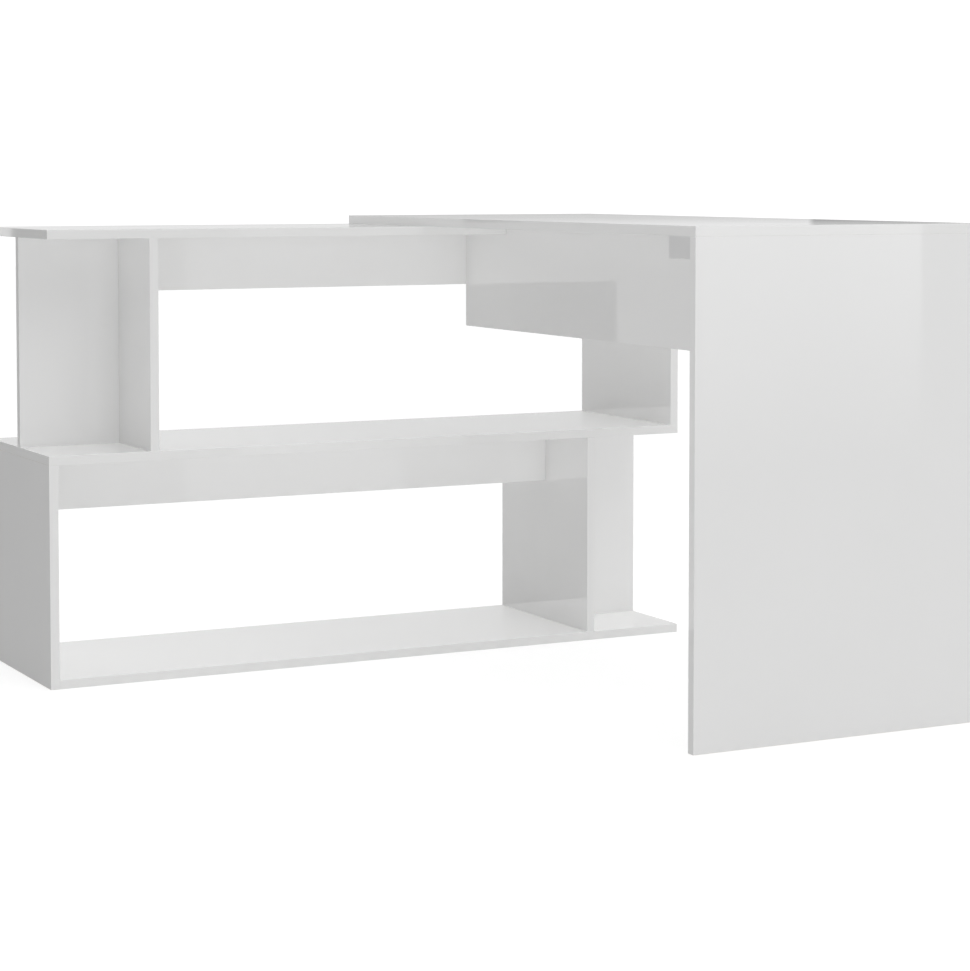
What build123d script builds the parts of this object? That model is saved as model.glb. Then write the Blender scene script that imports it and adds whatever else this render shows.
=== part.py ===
from build123d import *
import os

# A corner desk: an S-shaped shelf unit, with a desk top laid across its right end and carried at the
# front by one panel leg. Every board is 15 mm particleboard with thin bands glued on the edges that
# show. Cams and bolts, dowels and screws hold the boards together, on their hidden sides.
#
# Millimetres. X runs along the shelf unit, Y from the panel leg to the shelf unit's back, Z up. The
# origin is on the floor, in the middle of the whole desk's outline.

# ---------------------------------------------------------------------- driving dimensions
desk_height = 760
desk_length = 1206
desk_width = 506
shelf_length = 1183
shelf_depth = 330
board = 15  # thickness of every board
end_bay = 173  # clear width of the open bay at each free end of the S
stretcher_height = 93
apron_height = 183
apron_setback = 154  # from the desk top's left edge to the apron

band = 0.8  # thickness of an edge band
band_round = 0.5  # rounding of a band's outer corners
seam = 0.05  # hairline between two bands that meet at a corner

# ---------------------------------------------------------------------- cams, bolts and dowels
cam_setback = 24  # from the joint to the cam's centre
cam_radius = 7.5
cam_height = 12
cam_play = 0.1  # all round the cam in its bore
cavity_radius = 4.6  # room inside the cam for the bolt's head
cavity_half_height = 3.7
neck_slot_half_height = 2.4
neck_lead = 32  # degrees the slot for the neck starts ahead of the bolt
mouth_turn = 130  # degrees on to the mouth that let the bolt's head in
driver_length = 7
driver_width = 1.6
driver_depth = 2.4

bolt_bore_radius = 3.75
bolt_head_radius = 3.4
bolt_head_front = 1.2  # the head's reach past the cam's centre
bolt_head_back = 2.4
bolt_neck_radius = 2
bolt_shank_radius = 3.2
thread_radius = 2.5
thread_length = 11

cover_radius = 9
cover_height = 1.2
cover_chamfer = 0.6

dowel_radius = 4
dowel_flats = 12  # one for each flute
dowel_in_edge = 20  # the part of a dowel in the end of a board
dowel_in_face = 10  # the part of it in the face of the other
dowel_chamfer = 1

bore_play = 0.05  # all round a dowel or a thread
bore_reach = 1  # past the end of what the bore holds
joint_inset = 50  # from a board's edge to its first cam or screw
hole_pitch = 32  # from a cam to the dowel beside it
brace_inset = 110  # from a brace's top and bottom to its cams
stretcher_dowels = (0.2, 0.5, 0.8)  # shares of a stretcher's length
brace_dowels = (0.25, 0.75)  # shares of a brace's width
leg_cams = (90, 253, 416)  # across the leg, from the desk's left edge
apron_cams = (80, 430, 780)  # along the apron, from the leg

# ---------------------------------------------------------------------- screws and corner blocks
countersink = 90  # degrees
screw_clearance = 0.3
connector = (3.4, 50, 5)  # radius, length and head radius
wood_screw = (2, 25, 4)
top_screws_x = (70, 245, 426)  # from the desk's left edge
top_screw_inset = 45  # from the shelf's front and back

block_length = 58  # along the desk's edge
block_width = 40
block_height = 33
block_chamfer = 1
block_grip = 13  # left between a screw's head and the board it bites
block_counterbore = 5
block_screw_spread = 12  # from the block's middle to each upright screw
block_screw_shares = (0.3, 0.7)  # of the block's length

# ---------------------------------------------------------------------- places worked out from them
tier = (desk_height - 4 * board) / 2  # clear height of each shelf tier
half = board / 2

left = -shelf_length / 2
right = shelf_length / 2
front = -desk_length / 2
back = desk_length / 2
desk_left = right - desk_width
shelf_front = back - shelf_depth
leg_back = front + board

middle_low = board + tier
middle_top = middle_low + board
top_low = middle_top + tier
top_top = top_low + board  # the desk top lies on this level

web_y = back - shelf_depth / 2  # middle plane of the braces and stretchers
web_front = web_y - half
web_back = web_y + half

upper_divider_x = left + end_bay
lower_divider_x = right - end_bay - board
apron_x = desk_left + apron_setback
apron_low = top_top - apron_height
upper_stretcher_x = upper_divider_x + board
upper_stretcher_low = top_low - stretcher_height
lower_stretcher_low = middle_low - stretcher_height

LEFTWARDS, RIGHTWARDS = Vector(-1, 0, 0), Vector(1, 0, 0)
FORWARDS, BACKWARDS = Vector(0, -1, 0), Vector(0, 1, 0)
DOWN, UP = Vector(0, 0, -1), Vector(0, 0, 1)

# Sides of a board that can take a band: axis number and end.
LEFT_EDGE, RIGHT_EDGE = (0, -1), (0, 1)
FRONT_EDGE, BACK_EDGE = (1, -1), (1, 1)
LOWER_EDGE = (2, -1)


# ---------------------------------------------------------------------- shapes shared by the boards
def slab(low, high):
    """Fill the box between two opposite corners."""
    size = Vector(*high) - Vector(*low)
    with BuildSketch(Plane(origin=low)) as outline:
        Rectangle(size.X, size.Y, align=(Align.MIN, Align.MIN))
    extrude(outline.sketch, amount=size.Z)


def banded(low, high, edges):
    """Part a board's box into the corners of its core and of the bands on its edges.

    The bands are given from the outermost, which covers the ends of those after it.
    """
    low, high = list(low), list(high)
    gap_low, gap_high = [0, 0, 0], [0, 0, 0]
    strips = []
    for axis, end in edges:
        strip_low = [at + gap for at, gap in zip(low, gap_low)]
        strip_high = [at - gap for at, gap in zip(high, gap_high)]
        if end < 0:
            strip_high[axis] = low[axis] + band
            low[axis] += band
            gap_low[axis] = seam
        else:
            strip_low[axis] = high[axis] - band
            high[axis] -= band
            gap_high[axis] = seam
        strips.append((strip_low, strip_high, axis, end))
    return (low, high), strips


def edge_bands(strips):
    """Lay the bands, each with its outer long corners rounded."""
    for low, high, axis, end in strips:
        slab(low, high)
        outwards = (RIGHTWARDS, BACKWARDS, UP)[axis] * end
        outer_face = faces(Select.LAST).sort_by(Axis((0, 0, 0), outwards))[-1]
        long_corners = outer_face.edges().sort_by(SortBy.LENGTH)[-2:]
        fillet(long_corners, band_round)


def drill(points, into, radius, depth):
    """Sink a flat-bottomed hole at each point."""
    if points:
        with Locations(*[Plane(point, z_dir=-into) for point in points]):
            Hole(radius, depth)


def row(start, step, *distances):
    """Points at distances from a start, along a direction."""
    return [Vector(*start) + step * distance for distance in distances]


class ButtJoint:
    """The end of one board held against the face of another by cams, bolts and dowels.

    Points lie in the joint, at the middle of the end board's thickness. The direction into points from
    the face board into the end board, and cam_side from mid-thickness out through the cam's bore.
    """

    def __init__(self, into, cam_side, cams, dowels):
        self.into = into
        self.cam_side = cam_side
        self.cams = cams
        self.dowels = dowels

    def cut_end_board(self):
        """Drill the end board for the bolts, the cams and the dowels."""
        bore_mouths = [point + self.into * cam_setback + self.cam_side * half for point in self.cams]
        drill(self.cams, self.into, bolt_bore_radius, cam_setback)
        drill(bore_mouths, -self.cam_side, cam_radius + cam_play, cam_height + 2 * cam_play)
        drill(self.dowels, self.into, dowel_radius + bore_play, dowel_in_edge + bore_reach)

    def cut_face_board(self):
        """Drill the face board for the bolts' threads and the dowels."""
        drill(self.cams, -self.into, thread_radius + bore_play, thread_length + bore_reach)
        drill(self.dowels, -self.into, dowel_radius + bore_play, dowel_in_face + bore_reach)

    def cam_places(self):
        """Where the cams stand, each facing along its +Z and with its bolt along its +X."""
        return [
            Location(Plane(point + self.into * cam_setback, x_dir=-self.into, z_dir=self.cam_side))
            for point in self.cams
        ]

    def cover_places(self):
        """Where the cams' covers stand: an underside has none."""
        return [] if self.cam_side == DOWN else self.cam_places()

    def dowel_places(self):
        """Where the dowels stand: in the joint, with +Z into the end board."""
        return [Location(Plane(point, z_dir=self.into)) for point in self.dowels]


class ScrewJoint:
    """Countersunk screws driven through one piece into a board behind it.

    Points are the middles of the heads' faces, and the direction into is the screws'. The grip is the
    thickness between the heads' faces and the board that the threads bite.
    """

    def __init__(self, into, points, grip, radius, length, head_radius):
        self.into = into
        self.points = points
        self.grip = grip
        self.radius = radius
        self.length = length
        self.head_radius = head_radius

    def cut_gripped_piece(self):
        """Drill and countersink the clearance holes."""
        with Locations(*[Plane(point, z_dir=-self.into) for point in self.points]):
            CounterSinkHole(
                self.radius + screw_clearance, self.head_radius + screw_clearance, self.grip, countersink
            )

    def cut_bitten_board(self):
        """Drill the pilot holes for the threads."""
        mouths = [point + self.into * self.grip for point in self.points]
        drill(mouths, self.into, self.radius, self.length - self.grip + bore_reach)

    def places(self):
        """Where the screws stand: centre of the head's face, with +Z along the screw."""
        return [Location(Plane(point, z_dir=self.into)) for point in self.points]


# ---------------------------------------------------------------------- joints of the shelf unit
def across_shelf(x, z):
    """Cam and dowel points of a joint that runs from the shelf's front to its back."""
    start = (x, shelf_front, z)
    cams = row(start, BACKWARDS, joint_inset, shelf_depth - joint_inset)
    dowels = row(start, BACKWARDS, joint_inset + hole_pitch, shelf_depth - joint_inset - hole_pitch)
    return cams, dowels


def up_web_end(x, low, high, *cams):
    """Cam and dowel points up the end of a web, each dowel a pitch from its cam towards the middle."""
    middle = (low + high) / 2
    dowels = [z + hole_pitch if z < middle else z - hole_pitch for z in cams]
    return row((x, web_y, 0), UP, *cams), row((x, web_y, 0), UP, *dowels)


bottom_to_end = ButtJoint(RIGHTWARDS, DOWN, *across_shelf(left + board, half))
end_to_middle = ButtJoint(DOWN, RIGHTWARDS, *across_shelf(left + half, middle_low))
lower_divider_to_middle = ButtJoint(DOWN, RIGHTWARDS, *across_shelf(lower_divider_x + half, middle_low))
upper_divider_to_top = ButtJoint(DOWN, RIGHTWARDS, *across_shelf(upper_divider_x + half, top_low))
top_to_end = ButtJoint(LEFTWARDS, DOWN, *across_shelf(right - board, top_low + half))

lower_divider_foot = ScrewJoint(UP, across_shelf(lower_divider_x + half, 0)[0], board, *connector)
upper_divider_foot = ScrewJoint(UP, across_shelf(upper_divider_x + half, middle_low)[0], board, *connector)
upper_end_foot = ScrewJoint(UP, across_shelf(right - half, middle_low)[0], board, *connector)

upper_brace_side = ButtJoint(
    LEFTWARDS,
    BACKWARDS,
    *up_web_end(upper_divider_x, middle_top, top_low, middle_top + brace_inset, top_low - brace_inset),
)
lower_brace_side = ButtJoint(
    RIGHTWARDS,
    BACKWARDS,
    *up_web_end(lower_divider_x + board, board, middle_low, board + brace_inset, middle_low - brace_inset),
)
brace_run = [end_bay * share for share in brace_dowels]
upper_brace_head = ButtJoint(DOWN, BACKWARDS, [], row((left, web_y, top_low), RIGHTWARDS, *brace_run))
upper_brace_foot = ButtJoint(UP, BACKWARDS, [], row((left, web_y, middle_top), RIGHTWARDS, *brace_run))
lower_brace_head = ButtJoint(DOWN, BACKWARDS, [], row((right, web_y, middle_low), LEFTWARDS, *brace_run))
lower_brace_foot = ButtJoint(UP, BACKWARDS, [], row((right, web_y, board), LEFTWARDS, *brace_run))

stretcher_length = shelf_length - end_bay - 2 * board
stretcher_run = [stretcher_length * share for share in stretcher_dowels]
upper_stretcher_span = (upper_stretcher_low, top_low, upper_stretcher_low + stretcher_height / 3)
lower_stretcher_span = (lower_stretcher_low, middle_low, lower_stretcher_low + stretcher_height / 3)
upper_stretcher_left = ButtJoint(
    RIGHTWARDS, BACKWARDS, *up_web_end(upper_stretcher_x, *upper_stretcher_span)
)
upper_stretcher_right = ButtJoint(LEFTWARDS, BACKWARDS, *up_web_end(right - board, *upper_stretcher_span))
upper_stretcher_head = ButtJoint(
    DOWN, BACKWARDS, [], row((upper_stretcher_x, web_y, top_low), RIGHTWARDS, *stretcher_run)
)
lower_stretcher_left = ButtJoint(RIGHTWARDS, BACKWARDS, *up_web_end(left + board, *lower_stretcher_span))
lower_stretcher_right = ButtJoint(LEFTWARDS, BACKWARDS, *up_web_end(lower_divider_x, *lower_stretcher_span))
lower_stretcher_head = ButtJoint(
    DOWN, BACKWARDS, [], row((left + board, web_y, middle_low), RIGHTWARDS, *stretcher_run)
)

# ---------------------------------------------------------------------- joints of the desk
leg_head = (desk_left, front + half, top_top)
apron_front = (apron_x + half, leg_back, apron_low)
apron_head = (apron_x + half, leg_back, top_top)
apron_end = (apron_x + half, web_front, upper_stretcher_low)
leg_to_top = ButtJoint(
    DOWN,
    BACKWARDS,
    row(leg_head, RIGHTWARDS, *leg_cams),
    row(leg_head, RIGHTWARDS, *[x + hole_pitch for x in leg_cams]),
)
apron_to_leg = ButtJoint(
    BACKWARDS,
    RIGHTWARDS,
    row(apron_front, UP, apron_height / 4, apron_height * 3 / 4),
    row(apron_front, UP, apron_height / 2),
)
apron_to_top = ButtJoint(
    DOWN,
    RIGHTWARDS,
    row(apron_head, BACKWARDS, *apron_cams),
    row(apron_head, BACKWARDS, *[y + hole_pitch for y in apron_cams]),
)
apron_to_stretcher = ButtJoint(
    FORWARDS,
    RIGHTWARDS,
    row(apron_end, UP, stretcher_height / 3),
    row(apron_end, UP, stretcher_height * 2 / 3),
)
shelf_to_top = ScrewJoint(
    UP,
    [
        Vector(desk_left + x, y, top_low)
        for x in top_screws_x
        for y in (shelf_front + top_screw_inset, back - top_screw_inset)
    ],
    board,
    *wood_screw,
)

# Each corner block has two upright screws into the desk top and a level one into the leg.
block_middles = (desk_left + block_width / 2, right - block_width / 2)
block_low = top_top - block_height
block_back = leg_back + block_length
block_to_top = [
    ScrewJoint(
        UP,
        [
            Vector(x + side * block_screw_spread, leg_back + share * block_length, top_top - block_grip)
            for side, share in zip((-1, 1), block_screw_shares)
        ],
        block_grip,
        *wood_screw,
    )
    for x in block_middles
]
block_to_leg = [
    ScrewJoint(
        FORWARDS, [Vector(x, leg_back + block_grip, block_low + block_height / 2)], block_grip, *wood_screw
    )
    for x in block_middles
]

shelf_joints = [
    bottom_to_end,
    end_to_middle,
    lower_divider_to_middle,
    upper_divider_to_top,
    top_to_end,
    upper_brace_side,
    upper_brace_head,
    upper_brace_foot,
    lower_brace_side,
    lower_brace_head,
    lower_brace_foot,
    upper_stretcher_left,
    upper_stretcher_right,
    upper_stretcher_head,
    lower_stretcher_left,
    lower_stretcher_right,
    lower_stretcher_head,
]
shelf_screw_joints = [lower_divider_foot, upper_divider_foot, upper_end_foot]
desk_joints = [leg_to_top, apron_to_leg, apron_to_top, apron_to_stretcher]

# ---------------------------------------------------------------------- level boards of the shelf unit
core, strips = banded(
    (left + board, shelf_front, 0), (right, back, board), [FRONT_EDGE, BACK_EDGE, RIGHT_EDGE]
)
with BuildPart() as shelf_bottom_board:
    slab(*core)
    bottom_to_end.cut_end_board()
    lower_brace_foot.cut_face_board()
    lower_divider_foot.cut_gripped_piece()
with BuildPart() as shelf_bottom_edge_bands:
    edge_bands(strips)

core, strips = banded(
    (left, shelf_front, middle_low),
    (right, back, middle_top),
    [FRONT_EDGE, BACK_EDGE, LEFT_EDGE, RIGHT_EDGE],
)
with BuildPart() as shelf_middle_board:
    slab(*core)
    end_to_middle.cut_face_board()
    lower_divider_to_middle.cut_face_board()
    lower_stretcher_head.cut_face_board()
    lower_brace_head.cut_face_board()
    upper_brace_foot.cut_face_board()
    upper_divider_foot.cut_gripped_piece()
    upper_end_foot.cut_gripped_piece()
with BuildPart() as shelf_middle_edge_bands:
    edge_bands(strips)

core, strips = banded(
    (left, shelf_front, top_low), (right - board, back, top_top), [FRONT_EDGE, BACK_EDGE, LEFT_EDGE]
)
with BuildPart() as shelf_top_board:
    slab(*core)
    top_to_end.cut_end_board()
    upper_divider_to_top.cut_face_board()
    upper_brace_head.cut_face_board()
    upper_stretcher_head.cut_face_board()
    shelf_to_top.cut_gripped_piece()
with BuildPart() as shelf_top_edge_bands:
    edge_bands(strips)

# ---------------------------------------------------------------------- upright boards of the shelf unit
core, strips = banded((left, shelf_front, 0), (left + board, back, middle_low), [FRONT_EDGE, BACK_EDGE])
with BuildPart() as lower_left_end_panel:
    slab(*core)
    end_to_middle.cut_end_board()
    bottom_to_end.cut_face_board()
    lower_stretcher_left.cut_face_board()
with BuildPart() as lower_left_end_edge_bands:
    edge_bands(strips)

core, strips = banded(
    (right - board, shelf_front, middle_top), (right, back, top_top), [FRONT_EDGE, BACK_EDGE]
)
with BuildPart() as upper_right_end_panel:
    slab(*core)
    upper_end_foot.cut_bitten_board()
    top_to_end.cut_face_board()
    upper_stretcher_right.cut_face_board()
with BuildPart() as upper_right_end_edge_bands:
    edge_bands(strips)

core, strips = banded(
    (upper_divider_x, shelf_front, middle_top),
    (upper_stretcher_x, back, top_low),
    [FRONT_EDGE, BACK_EDGE],
)
with BuildPart() as upper_left_divider:
    slab(*core)
    upper_divider_to_top.cut_end_board()
    upper_divider_foot.cut_bitten_board()
    upper_brace_side.cut_face_board()
    upper_stretcher_left.cut_face_board()
with BuildPart() as upper_left_divider_edge_bands:
    edge_bands(strips)

core, strips = banded(
    (lower_divider_x, shelf_front, board),
    (lower_divider_x + board, back, middle_low),
    [FRONT_EDGE, BACK_EDGE],
)
with BuildPart() as lower_right_divider:
    slab(*core)
    lower_divider_to_middle.cut_end_board()
    lower_divider_foot.cut_bitten_board()
    lower_brace_side.cut_face_board()
    lower_stretcher_right.cut_face_board()
with BuildPart() as lower_right_divider_edge_bands:
    edge_bands(strips)

# ---------------------------------------------------------------------- webs at the shelf's mid depth
core, strips = banded((left, web_front, middle_top), (upper_divider_x, web_back, top_low), [LEFT_EDGE])
with BuildPart() as upper_left_brace:
    slab(*core)
    upper_brace_side.cut_end_board()
    upper_brace_head.cut_end_board()
    upper_brace_foot.cut_end_board()
with BuildPart() as upper_left_brace_edge_band:
    edge_bands(strips)

core, strips = banded(
    (lower_divider_x + board, web_front, board), (right, web_back, middle_low), [RIGHT_EDGE]
)
with BuildPart() as lower_right_brace:
    slab(*core)
    lower_brace_side.cut_end_board()
    lower_brace_head.cut_end_board()
    lower_brace_foot.cut_end_board()
with BuildPart() as lower_right_brace_edge_band:
    edge_bands(strips)

core, strips = banded(
    (upper_stretcher_x, web_front, upper_stretcher_low), (right - board, web_back, top_low), [LOWER_EDGE]
)
with BuildPart() as upper_stretcher:
    slab(*core)
    upper_stretcher_left.cut_end_board()
    upper_stretcher_right.cut_end_board()
    upper_stretcher_head.cut_end_board()
    apron_to_stretcher.cut_face_board()
with BuildPart() as upper_stretcher_edge_band:
    edge_bands(strips)

core, strips = banded(
    (left + board, web_front, lower_stretcher_low), (lower_divider_x, web_back, middle_low), [LOWER_EDGE]
)
with BuildPart() as lower_stretcher:
    slab(*core)
    lower_stretcher_left.cut_end_board()
    lower_stretcher_right.cut_end_board()
    lower_stretcher_head.cut_end_board()
with BuildPart() as lower_stretcher_edge_band:
    edge_bands(strips)

# ---------------------------------------------------------------------- boards of the desk
core, strips = banded(
    (desk_left, front, top_top),
    (right, back, desk_height),
    [FRONT_EDGE, BACK_EDGE, LEFT_EDGE, RIGHT_EDGE],
)
with BuildPart() as desk_top:
    slab(*core)
    leg_to_top.cut_face_board()
    apron_to_top.cut_face_board()
    for joint in (shelf_to_top, *block_to_top):
        joint.cut_bitten_board()
with BuildPart() as desk_top_edge_bands:
    edge_bands(strips)

core, strips = banded((desk_left, front, 0), (right, leg_back, top_top), [LEFT_EDGE, RIGHT_EDGE])
with BuildPart() as desk_leg_panel:
    slab(*core)
    leg_to_top.cut_end_board()
    apron_to_leg.cut_face_board()
    for joint in block_to_leg:
        joint.cut_bitten_board()
with BuildPart() as desk_leg_edge_bands:
    edge_bands(strips)

# The apron runs on under the shelf's top board, as far as the stretcher.
core, strips = banded((apron_x, leg_back, apron_low), (apron_x + board, web_front, top_top), [LOWER_EDGE])
with BuildPart() as desk_apron:
    slab(*core)
    with BuildSketch(Plane.YZ.offset(apron_x)) as notch:
        with Locations((shelf_front, top_low)):
            Rectangle(shelf_depth, board, align=(Align.MIN, Align.MIN))
    extrude(notch.sketch, amount=board, mode=Mode.SUBTRACT)
    apron_to_leg.cut_end_board()
    apron_to_top.cut_end_board()
    apron_to_stretcher.cut_end_board()
with BuildPart() as desk_apron_edge_band:
    edge_bands(strips)


# ---------------------------------------------------------------------- corner blocks under the desk top
def corner_block(x, to_top, to_leg):
    """A block in the corner of leg and top, with its screws sunk from below and from behind."""
    slab((x - block_width / 2, leg_back, block_low), (x + block_width / 2, block_back, top_top))
    chamfer(faces().sort_by(Axis.Z)[0].edges(), block_chamfer)
    from_below = [Vector(point.X, point.Y, block_low) for point in to_top.points]
    from_behind = [Vector(point.X, block_back, point.Z) for point in to_leg.points]
    drill(from_below, UP, block_counterbore, block_height - block_grip)
    drill(from_behind, FORWARDS, block_counterbore, block_length - block_grip)
    to_top.cut_gripped_piece()
    to_leg.cut_gripped_piece()


with BuildPart() as left_corner_block:
    corner_block(block_middles[0], block_to_top[0], block_to_leg[0])
with BuildPart() as right_corner_block:
    corner_block(block_middles[1], block_to_top[1], block_to_leg[1])

# ---------------------------------------------------------------------- one of each fitting
# The cam faces along +Z. Its bolt comes in along +X, and the cam has been turned from its mouth until
# the narrow slot grips the bolt's neck.
cam_face = half - cam_play
wall_radius = cam_radius + 1  # just outside the cam's wall
with BuildPart() as cam:
    with BuildSketch(Plane.XY.offset(cam_face - cam_height)):
        Circle(cam_radius)
    extrude(amount=cam_height)
    with BuildSketch(Plane.XY.offset(-cavity_half_height)) as head_room:
        Circle(cavity_radius)
        with PolarLocations(wall_radius / 2, 1, start_angle=mouth_turn):
            Rectangle(wall_radius, 2 * cavity_half_height)
    extrude(head_room.sketch, amount=2 * cavity_half_height, mode=Mode.SUBTRACT)
    with BuildSketch(Plane.XZ.rotated((0, 0, -neck_lead))) as neck_room:
        with Locations((wall_radius / 2, 0)):
            Rectangle(wall_radius, 2 * neck_slot_half_height)
    revolve(neck_room.sketch, Axis.Z, neck_lead + mouth_turn, mode=Mode.SUBTRACT)
    with BuildSketch(Plane.XY.offset(cam_face)) as driver_recess:
        Rectangle(driver_length, driver_width)
        Rectangle(driver_width, driver_length)
    extrude(driver_recess.sketch, amount=-driver_depth, mode=Mode.SUBTRACT)

bolt_shoulder = cam_setback  # the shank stands on the face board
bolt_end = bolt_shoulder + thread_length
with BuildPart() as bolt:
    with BuildSketch(Plane.XZ) as profile:
        with BuildLine():
            Polyline(
                (-bolt_head_front, 0),
                (-bolt_head_front, bolt_head_radius),
                (bolt_head_back, bolt_head_radius),
                (bolt_head_back + bolt_head_radius - bolt_neck_radius, bolt_neck_radius),
                (wall_radius, bolt_neck_radius),
                (wall_radius + bolt_shank_radius - bolt_neck_radius, bolt_shank_radius),
                (bolt_shoulder, bolt_shank_radius),
                (bolt_shoulder, thread_radius),
                (bolt_end, thread_radius),
                (bolt_end, 0),
                close=True,
            )
        make_face()
    revolve(profile.sketch, Axis.X)

with BuildPart() as cover:
    with BuildSketch(Plane.XY.offset(half)):
        Circle(cover_radius)
    extrude(amount=cover_height)
    chamfer(cover.faces().sort_by(Axis.Z)[-1].edges(), cover_chamfer)

with BuildPart() as dowel:
    with BuildSketch(Plane.XY.offset(-dowel_in_face)):
        RegularPolygon(dowel_radius, dowel_flats)
    extrude(amount=dowel_in_face + dowel_in_edge)
    dowel_ends = dowel.faces().filter_by(Axis.Z)
    chamfer(dowel_ends.edges(), dowel_chamfer)


def screw(radius, length, head_radius):
    """A countersunk screw along +Z from its head's face, with a cross recess."""
    with BuildSketch(Plane.XZ) as profile:
        with BuildLine():
            Polyline(
                (0, 0),
                (head_radius, 0),
                (radius, head_radius - radius),
                (radius, length - 2 * radius),
                (0, length),
                close=True,
            )
        make_face()
    revolve(profile.sketch, Axis.Z)
    with BuildSketch() as recess:
        Rectangle(head_radius, head_radius / 4)
        Rectangle(head_radius / 4, head_radius)
    extrude(recess.sketch, amount=head_radius - radius, mode=Mode.SUBTRACT)


with BuildPart() as one_connector:
    screw(*connector)
with BuildPart() as one_wood_screw:
    screw(*wood_screw)


# ---------------------------------------------------------------------- sets of fittings
def gather(places_of, joints):
    """The places that a method gives for all of some joints."""
    return [place for joint in joints for place in places_of(joint)]


with BuildPart() as shelf_cam_locks:
    with Locations(*gather(ButtJoint.cam_places, shelf_joints)):
        add(cam.part)
with BuildPart() as shelf_cam_bolts:
    with Locations(*gather(ButtJoint.cam_places, shelf_joints)):
        add(bolt.part)
with BuildPart() as shelf_cam_covers:
    with Locations(*gather(ButtJoint.cover_places, shelf_joints)):
        add(cover.part)
with BuildPart() as shelf_dowels:
    with Locations(*gather(ButtJoint.dowel_places, shelf_joints)):
        add(dowel.part)
with BuildPart() as shelf_connector_screws:
    with Locations(*gather(ScrewJoint.places, shelf_screw_joints)):
        add(one_connector.part)
with BuildPart() as desk_cam_locks:
    with Locations(*gather(ButtJoint.cam_places, desk_joints)):
        add(cam.part)
with BuildPart() as desk_cam_bolts:
    with Locations(*gather(ButtJoint.cam_places, desk_joints)):
        add(bolt.part)
with BuildPart() as desk_cam_covers:
    with Locations(*gather(ButtJoint.cover_places, desk_joints)):
        add(cover.part)
with BuildPart() as desk_dowels:
    with Locations(*gather(ButtJoint.dowel_places, desk_joints)):
        add(dowel.part)
with BuildPart() as desk_top_screws:
    with Locations(*shelf_to_top.places()):
        add(one_wood_screw.part)
with BuildPart() as corner_block_screws:
    with Locations(*gather(ScrewJoint.places, block_to_top + block_to_leg)):
        add(one_wood_screw.part)

# ---------------------------------------------------------------------- files
pieces = {
    "desk_top": desk_top,
    "desk_top_edge_bands": desk_top_edge_bands,
    "desk_leg_panel": desk_leg_panel,
    "desk_leg_edge_bands": desk_leg_edge_bands,
    "desk_apron": desk_apron,
    "desk_apron_edge_band": desk_apron_edge_band,
    "left_corner_block": left_corner_block,
    "right_corner_block": right_corner_block,
    "shelf_top_board": shelf_top_board,
    "shelf_top_edge_bands": shelf_top_edge_bands,
    "shelf_middle_board": shelf_middle_board,
    "shelf_middle_edge_bands": shelf_middle_edge_bands,
    "shelf_bottom_board": shelf_bottom_board,
    "shelf_bottom_edge_bands": shelf_bottom_edge_bands,
    "lower_left_end_panel": lower_left_end_panel,
    "lower_left_end_edge_bands": lower_left_end_edge_bands,
    "upper_right_end_panel": upper_right_end_panel,
    "upper_right_end_edge_bands": upper_right_end_edge_bands,
    "upper_left_divider": upper_left_divider,
    "upper_left_divider_edge_bands": upper_left_divider_edge_bands,
    "lower_right_divider": lower_right_divider,
    "lower_right_divider_edge_bands": lower_right_divider_edge_bands,
    "upper_left_brace": upper_left_brace,
    "upper_left_brace_edge_band": upper_left_brace_edge_band,
    "lower_right_brace": lower_right_brace,
    "lower_right_brace_edge_band": lower_right_brace_edge_band,
    "upper_stretcher": upper_stretcher,
    "upper_stretcher_edge_band": upper_stretcher_edge_band,
    "lower_stretcher": lower_stretcher,
    "lower_stretcher_edge_band": lower_stretcher_edge_band,
    "shelf_cam_locks": shelf_cam_locks,
    "shelf_cam_bolts": shelf_cam_bolts,
    "shelf_cam_covers": shelf_cam_covers,
    "shelf_dowels": shelf_dowels,
    "shelf_connector_screws": shelf_connector_screws,
    "desk_cam_locks": desk_cam_locks,
    "desk_cam_bolts": desk_cam_bolts,
    "desk_cam_covers": desk_cam_covers,
    "desk_dowels": desk_dowels,
    "desk_top_screws": desk_top_screws,
    "corner_block_screws": corner_block_screws,
}
os.makedirs("parts", exist_ok=True)
for name, piece in pieces.items():
    piece.part.label = name
    export_step(piece.part, f"parts/{name}.step")
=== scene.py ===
import math

import bmesh
import bpy
import numpy as np
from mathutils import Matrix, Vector


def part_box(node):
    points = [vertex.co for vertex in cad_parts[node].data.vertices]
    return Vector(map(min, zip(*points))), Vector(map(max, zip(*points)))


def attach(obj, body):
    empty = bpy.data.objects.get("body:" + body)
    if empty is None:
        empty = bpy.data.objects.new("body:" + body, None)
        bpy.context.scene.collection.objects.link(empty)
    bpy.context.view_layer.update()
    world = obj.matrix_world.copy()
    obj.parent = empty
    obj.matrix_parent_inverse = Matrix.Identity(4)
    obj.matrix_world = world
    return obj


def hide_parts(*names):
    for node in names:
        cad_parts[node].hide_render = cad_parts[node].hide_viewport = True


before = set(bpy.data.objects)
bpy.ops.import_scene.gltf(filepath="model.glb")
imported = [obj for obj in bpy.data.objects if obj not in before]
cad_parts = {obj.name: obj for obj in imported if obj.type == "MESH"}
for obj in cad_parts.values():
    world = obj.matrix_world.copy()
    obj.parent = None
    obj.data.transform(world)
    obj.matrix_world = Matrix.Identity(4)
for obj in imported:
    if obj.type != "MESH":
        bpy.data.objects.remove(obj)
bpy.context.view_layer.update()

bl_info = {
    "name": "Corner desk",
    "version": (1, 0, 0),
    "blender": (4, 5, 0),
    "location": "3D View > Sidebar > Corner desk",
    "description": "Finishes, fittings and studio of a high-gloss white corner desk",
    "category": "Object",
}

MM = 0.001
WHITE = (1.0, 1.0, 1.0, 1.0)

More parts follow.
